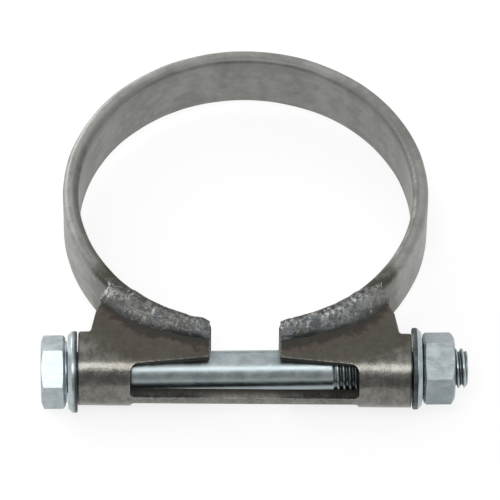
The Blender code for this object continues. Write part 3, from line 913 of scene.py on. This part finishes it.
def saddle_steel():
    """Pressed sheet, browned by welding: die marks round the fold, heat colours, painted shade inside the
    fold.
    """
    material, tree, surface, position = start_material("saddle_steel")
    flow, radius, height = polar(tree, position)
    clouds = cloud(tree, position, (0.12,) * 3, 5, 0.62, 0.5)
    patches = cloud(tree, position, (0.5,) * 3, 4, 0.65, 0.4)
    marks = cloud(tree, position, (1.1, 0.25, 0.25), 4, 0.6)
    fine = cloud(tree, position, (2.2,) * 3, 3, 0.65)
    tone = weighed(tree, (clouds, 0.3), (patches, 0.35), (marks, 0.15), (fine, 0.2))
    tint = blend(tree, span(tree, tone, 0.39, 0.62), SADDLE_DEEP, SADDLE_PALE)
    closing = closing_in(tree, flow)
    warped = weighed(tree, (radius, 1.0), (clouds, 8.0), (patches, 5.0), (closing, 0.5))
    flat = span(tree, calc(tree, "ABSOLUTE", height), *FLANGE_FACE)
    brown = calc(tree, "MULTIPLY", span(tree, warped, *BROWN_REACH), flat)
    tint = blend(tree, calc(tree, "MULTIPLY", brown, 0.8), tint, SADDLE_BROWN)
    red = span(tree, warped, *RED_OUTSIDE)
    red = calc(tree, "MULTIPLY", red, span(tree, warped, *RED_INSIDE))
    red = calc(tree, "MULTIPLY", red, flat)
    tint = blend(tree, calc(tree, "MULTIPLY", red, 0.45), tint, SADDLE_RED)
    # Painted shade on the flange along the weld beads' toes.
    toe_shade = calc(tree, "MULTIPLY", span(tree, warped, *SADDLE_TOE_SHADE_REACH), flat)
    tint = blend(tree, calc(tree, "MULTIPLY", toe_shade, 0.85), tint, SADDLE_TOE_PAINTED_SHADE)
    wear = edge_wear(tree, 0.5 * MM, position)
    tint = blend(tree, calc(tree, "MULTIPLY", wear, 0.5), tint, SADDLE_WORN)
    # Painted shade on the inside of the fold round the bolt.
    fold_shade_line = span(tree, height, 1.5, 4.0, *FOLD_SHADE_DEPTH)
    inside = span(tree, fold_depth(tree, position), FOLD_SHADE_START, fold_shade_line)
    tint = blend(tree, calc(tree, "MULTIPLY", inside, 0.85), tint, SADDLE_FOLD_PAINTED_SHADE)
    # Painted shade on the saddle's end faces, where the washers sit against them.
    side = calc(tree, "ABSOLUTE", node(tree, "SeparateXYZ", {0: position}).outputs[0])
    tint = blend(tree, span(tree, side, *SADDLE_END_FACE, 0, 0.85), tint, SADDLE_END_PAINTED_SHADE)
    rough = weighed(tree, (span(tree, tone, 0.3, 0.7, 0.2, 0.33), 1.0), (inside, 0.3))
    connect(tree, surface, Base_Color=tint, Metallic=0.95, Roughness=rough)
    relief = weighed(tree, (patches, 1.0), (marks, 0.2), (fine, 0.07))
    connect(tree, surface, Normal=bumps(tree, relief, 0.06 * MM, 0.9))
    return material


def fold_depth(tree, position):
    """Distance from the bolt's line to the sheet, whether the sheet is round the bolt or beside it."""
    parts = node(tree, "SeparateXYZ", {0: position}).outputs
    ahead = calc(tree, "MINIMUM", calc(tree, "ADD", parts[1], BOLT_OFFSET / MM), 0.0)
    square = calc(tree, "MULTIPLY", ahead, ahead)
    square = calc(tree, "ADD", square, calc(tree, "MULTIPLY", parts[2], parts[2]))
    return calc(tree, "SQRT", square)


def weld_metal(name, toe_shade_share):
    """Rough bead: mottled dark and pale scale, painted shade at the toes, a painted highlight on the
    crest, blue oxide, bright specks.
    """
    material, tree, surface, position = start_material(name)
    flow, radius, _ = polar(tree, position)
    clouds = cloud(tree, position, (0.16,) * 3, 4, 0.6, 0.6)
    mottles = cloud(tree, flow, (0.42, 0.7, 0.7), 5, 0.68, 0.9)
    grit = cloud(tree, position, (1.2,) * 3, 4, 0.65, 0.4)
    warmth = span(tree, clouds, 0.42, 0.58)
    dark = blend(tree, warmth, WELD_DARK_BLUE, WELD_DARK_BROWN)
    pale = blend(tree, warmth, WELD_PALE_BLUE, WELD_PALE_GREY)
    closing = closing_in(tree, flow)
    warped = weighed(tree, (radius, 1.0), (mottles, 6.0), (grit, 1.2), (closing, 1.0))
    # Painted highlight: the middle of each bead, between these radii, is made paler.
    crest_highlight = span(tree, warped, *WELD_CREST_PAINTED_HIGHLIGHT_INSIDE)
    crest_highlight = calc(tree, "MULTIPLY", crest_highlight, span(tree, warped, *WELD_CREST_PAINTED_HIGHLIGHT_OUTSIDE))
    tail = span(tree, distance_from_front(tree, flow), *WELD_TAIL_START)
    share = weighed(tree, (span(tree, mottles, 0.42, 0.6), 0.75), (crest_highlight, 0.38), (tail, 0.3))
    tint = blend(tree, span(tree, share, 0.0, 1.0), dark, pale)
    # Painted shade along each bead's inner and outer toe.
    inner = span(tree, calc(tree, "SUBTRACT", warped, closing), *WELD_INNER_TOE_REACH)
    tint = blend(tree, calc(tree, "MULTIPLY", inner, 0.7 * toe_shade_share), tint, WELD_INNER_TOE_PAINTED_SHADE)
    outer = span(tree, warped, *WELD_OUTER_TOE_REACH)
    tint = blend(tree, calc(tree, "MULTIPLY", outer, 0.75 * toe_shade_share), tint, WELD_OUTER_TOE_PAINTED_SHADE)
    pits = span(tree, grit, 0.42, 0.34)
    tint = blend(tree, calc(tree, "MULTIPLY", pits, 0.7), tint, WELD_PIT)
    flecks = cloud(tree, position, (0.74,) * 3, 2, 0.5, 0.2)
    specks = span(tree, flecks, 0.64, 0.72)
    tint = blend(tree, calc(tree, "MULTIPLY", specks, 0.4), tint, WELD_SPECK)
    rough = span(tree, grit, 0.35, 0.65, 0.4, 0.25)
    connect(tree, surface, Base_Color=tint, Metallic=0.85, Roughness=rough)
    relief = weighed(tree, (grit, 0.6), (mottles, 1.6), (flecks, 0.5))
    connect(tree, surface, Normal=bumps(tree, relief, 0.16 * MM, 0.9))
    return material


def zinc_plate(name, level):
    """Zinc with a cool tint, faint clouds, fine scratches, and painted shade in thread and corners.

    The level is 1 for the bright zinc and less for a darker copy of it. The shank is darker, painted
    shade, and the head rougher.
    """
    material, tree, surface, position = start_material(name)
    clouds = cloud(tree, position, (0.3,) * 3, 4, 0.6, 0.5)
    lines = cloud(tree, position, (0.3, 2.4, 2.4), 3, 0.6)
    spots = span(tree, cloud(tree, position, (1.2,) * 3, 3, 0.6), 0.64, 0.74)
    tone = weighed(tree, (clouds, 0.7), (lines, 0.3))
    deep = tuple(level * channel for channel in ZINC_DEEP)
    pale = tuple(level * channel for channel in ZINC_PALE)
    tint = blend(tree, span(tree, tone, 0.35, 0.65), deep, pale)
    tint = blend(tree, calc(tree, "MULTIPLY", spots, 0.22), tint, ZINC_SPOT)
    wear = edge_wear(tree, 0.25 * MM, position)
    tint = blend(tree, calc(tree, "MULTIPLY", wear, 0.35), tint, ZINC_WORN)
    # Painted shade in the thread's root, at the collars' mouths and on the washers' rims beside the
    # saddle.
    painted_shade = calc(tree, "MULTIPLY", zinc_painted_shade(tree, position), span(tree, clouds, 0.3, 0.6, 0.75, 0.95))
    tint = blend(tree, painted_shade, tint, ZINC_PAINTED_SHADE)
    # Painted shade: the shank between the washers is darkened.
    shank = on_shank(tree, position)
    tint = blend(tree, calc(tree, "MULTIPLY", shank, 0.5), tint, SHANK_PAINTED_SHADE, "MULTIPLY")
    head = span(tree, node(tree, "SeparateXYZ", {0: position}).outputs[0], *HEAD_START)
    rough = span(tree, clouds, 0.3, 0.7, 0.25, 0.34)
    rough = weighed(tree, (rough, 1.0), (painted_shade, 0.2), (shank, 0.06), (head, 0.1))
    connect(tree, surface, Base_Color=tint, Metallic=1.0, Roughness=rough)
    connect(tree, surface, Normal=bumps(tree, clouds, 0.005 * MM, 0.4))
    return material


def off_axis(tree, position):
    """Distance from the bolt's own axis, in millimetres."""
    _, y, z = node(tree, "SeparateXYZ", {0: position}).outputs
    square = calc(tree, "ADD", calc(tree, "MULTIPLY", y, y), calc(tree, "MULTIPLY", z, z))
    return calc(tree, "SQRT", square)


def on_shank(tree, position):
    """1 on the bolt between its washers and 0 on the head, the nut and the washers."""
    side = calc(tree, "ABSOLUTE", node(tree, "SeparateXYZ", {0: position}).outputs[0])
    radius = off_axis(tree, position)
    return calc(tree, "MULTIPLY", span(tree, radius, *SHANK_RADIUS), span(tree, side, *SHANK_SIDE))


def zinc_painted_shade(tree, position):
    """0 to 1: painted shade in the thread's root, at the collars' mouths and where washers meet the
    saddle.
    """
    x = node(tree, "SeparateXYZ", {0: position}).outputs[0]
    radius = off_axis(tree, position)
    side = calc(tree, "ABSOLUTE", x)
    shank = on_shank(tree, position)
    mouth_shade = calc(tree, "MAXIMUM", span(tree, x, *RIGHT_MOUTH, 0.0, 0.8), span(tree, x, *LEFT_MOUTH))
    threaded = calc(tree, "MULTIPLY", span(tree, x, *THREAD_START), span(tree, x, *THREAD_END))
    root_shade = calc(tree, "MULTIPLY", span(tree, radius, *THREAD_ROOT), threaded)
    full = span(tree, x, -1.0, 1.0, *WASHER_SHADE_FULL)
    shaded_side = span(tree, side, WASHER_SHADE_START, full)
    rim = calc(tree, "MULTIPLY", span(tree, radius, *WASHER_RIM), shaded_side)
    parts_shade = calc(tree, "MAXIMUM", calc(tree, "MULTIPLY", shank, mouth_shade), rim)
    return calc(tree, "MAXIMUM", parts_shade, calc(tree, "MULTIPLY", root_shade, 0.8))


# Studio


def towards(azimuth, elevation):
    """The direction from the clamp at this azimuth, 0 in front of it, and this elevation."""
    level = math.cos(elevation)
    return Vector((math.sin(azimuth) * level, -math.cos(azimuth) * level, math.sin(elevation)))


def plane(name, width, height, place):
    bm = bmesh.new()
    bmesh.ops.create_grid(bm, x_segments=1, y_segments=1, size=0.5)
    bmesh.ops.scale(bm, vec=(width, height, 1), verts=bm.verts)
    mesh = bpy.data.meshes.new(name)
    bm.to_mesh(mesh)
    bm.free()
    obj = bpy.data.objects.new(name, mesh)
    bpy.context.scene.collection.objects.link(obj)
    obj.matrix_world = place
    return obj


def seen_directly(tree):
    """1 for camera, glossy and transmission rays, so that metal shows the same pale ground."""
    path = node(tree, "LightPath")
    direct = calc(tree, "MAXIMUM", path.outputs["Is Camera Ray"], path.outputs["Is Glossy Ray"])
    return calc(tree, "MAXIMUM", direct, path.outputs["Is Transmission Ray"])


def make_floor():
    """Matt white, lifted to white where it is seen, with the clamp's shadow kept."""
    material = bpy.data.materials.new("floor_white")
    material.use_nodes = True
    tree = material.node_tree
    tree.nodes.remove(tree.nodes["Principled BSDF"])
    matt = node(tree, "BsdfDiffuse", {"Color": (*FLOOR_COLOUR, 1.0)}).outputs[0]
    thin = [channel * FLOOR_SHADED_SHARE for channel in FLOOR_COLOUR]
    faint = node(tree, "BsdfDiffuse", {"Color": (*thin, 1.0)}).outputs[0]
    lift = node(tree, "Emission", {"Color": (1, 1, 1, 1), "Strength": FLOOR_LIFT}).outputs[0]
    both = node(tree, "AddShader", {0: faint, 1: lift}).outputs[0]
    seen = node(tree, "MixShader", {0: seen_directly(tree), 1: matt, 2: both}).outputs[0]
    tree.links.new(seen, tree.nodes["Material Output"].inputs["Surface"])
    floor = plane("floor", FLOOR_SIZE, FLOOR_SIZE, Matrix.Identity(4))
    floor.data.materials.append(material)


def make_world():
    world = bpy.data.worlds.new("studio")
    bpy.context.scene.world = world
    world.use_nodes = True
    tree = world.node_tree
    ambient = tree.nodes["Background"]
    ambient.inputs["Color"].default_value = (1.0, 1.0, 1.0, 1.0)
    ambient.inputs["Strength"].default_value = WORLD_LEVEL
    white = node(tree, "Background", {"Color": (1, 1, 1, 1), "Strength": 1.0}).outputs[0]
    seen = node(tree, "MixShader", {0: seen_directly(tree), 1: ambient.outputs[0], 2: white})
    tree.links.new(seen.outputs[0], tree.nodes["World Output"].inputs["Surface"])


def make_softbox(name, azimuth, elevation, distance, size, radiance):
    """An area light that faces the clamp. Its power follows from its radiance and its area."""
    data = bpy.data.lights.new(name, "AREA")
    data.shape = "RECTANGLE"
    data.size, data.size_y = size
    data.energy = math.pi * radiance * size[0] * size[1]
    light = bpy.data.objects.new(name, data)
    bpy.context.scene.collection.objects.link(light)
    direction = towards(math.radians(azimuth), math.radians(elevation))
    light.location = RING + direction * distance
    light.rotation_euler = (-direction).to_track_quat("-Z", "Y").to_euler()


def make_front_card():
    """A grey card across the room in front, which only reflections see."""
    material = bpy.data.materials.new("card_grey")
    material.use_nodes = True
    tree = material.node_tree
    tree.nodes.remove(tree.nodes["Principled BSDF"])
    glow = node(tree, "Emission", {"Color": (1, 1, 1, 1), "Strength": CARD_LEVEL}).outputs[0]
    tree.links.new(glow, tree.nodes["Material Output"].inputs["Surface"])
    middle = Matrix.Translation((0, -CARD_DISTANCE, CARD_HEIGHT / 2))
    card = plane("front_card", CARD_WIDTH, CARD_HEIGHT, middle @ Matrix.Rotation(math.pi / 2, 4, "X"))
    card.data.materials.append(material)
    card.visible_camera = False
    card.visible_diffuse = False
    card.visible_shadow = False


def make_camera():
    data = bpy.data.cameras.new("camera")
    data.sensor_width = SENSOR
    data.lens = PIXELS_PER_METRE * CAMERA_DISTANCE * SENSOR / IMAGE_SIDE
    data.clip_start = CLIP_NEAR
    data.clip_end = CLIP_FAR
    camera = bpy.data.objects.new("camera", data)
    bpy.context.scene.collection.objects.link(camera)
    back = towards(CAMERA_AZIMUTH, CAMERA_ELEVATION)
    level = Vector((math.cos(CAMERA_AZIMUTH), math.sin(CAMERA_AZIMUTH), 0))
    roll = Matrix.Rotation(CAMERA_ROLL, 3, back)
    right = roll @ level
    up = roll @ back.cross(level)
    place = RING + back * CAMERA_DISTANCE + right * CAMERA_SIDE + up * CAMERA_RISE
    rotation = Matrix((right, up, back)).transposed().to_4x4()
    camera.matrix_world = Matrix.Translation(place) @ rotation
    bpy.context.scene.camera = camera


def main():
    band = band_steel()
    saddle = saddle_steel()
    weld = weld_metal("weld_metal", 1.0)
    spatter = weld_metal("spatter_metal", 0.0)
    zinc = zinc_plate("zinc_plate", 1.0)
    # The nut gets a darker copy of the same zinc.
    darker_zinc = zinc_plate("darker_zinc_plate", DARKER_ZINC_LEVEL)
    make_band(band)
    make_saddle(saddle)
    seed = 1.0
    for side_name, side in (("left", -1), ("right", 1)):
        for face_name, face in (("upper", 1), ("lower", -1)):
            place = f"{face_name}_{side_name}"
            make_weld(f"weld_run_{place}", side, face, seed, f"weld_bead_{place}", weld)
            seed += 13.0
    make_spatter(spatter)
    make_bolt(zinc)
    make_nut(darker_zinc)
    make_washer("head_side_washer", -1, "bolt", "head_washer", zinc)
    make_washer("nut_side_washer", 1, "washer", "nut_washer", zinc)
    make_floor()
    make_world()
    make_softbox("key_light", **KEY)
    make_softbox("rim_light", **RIM)
    make_front_card()
    make_camera()
    bpy.context.scene.view_settings.view_transform = "Standard"
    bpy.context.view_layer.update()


main()
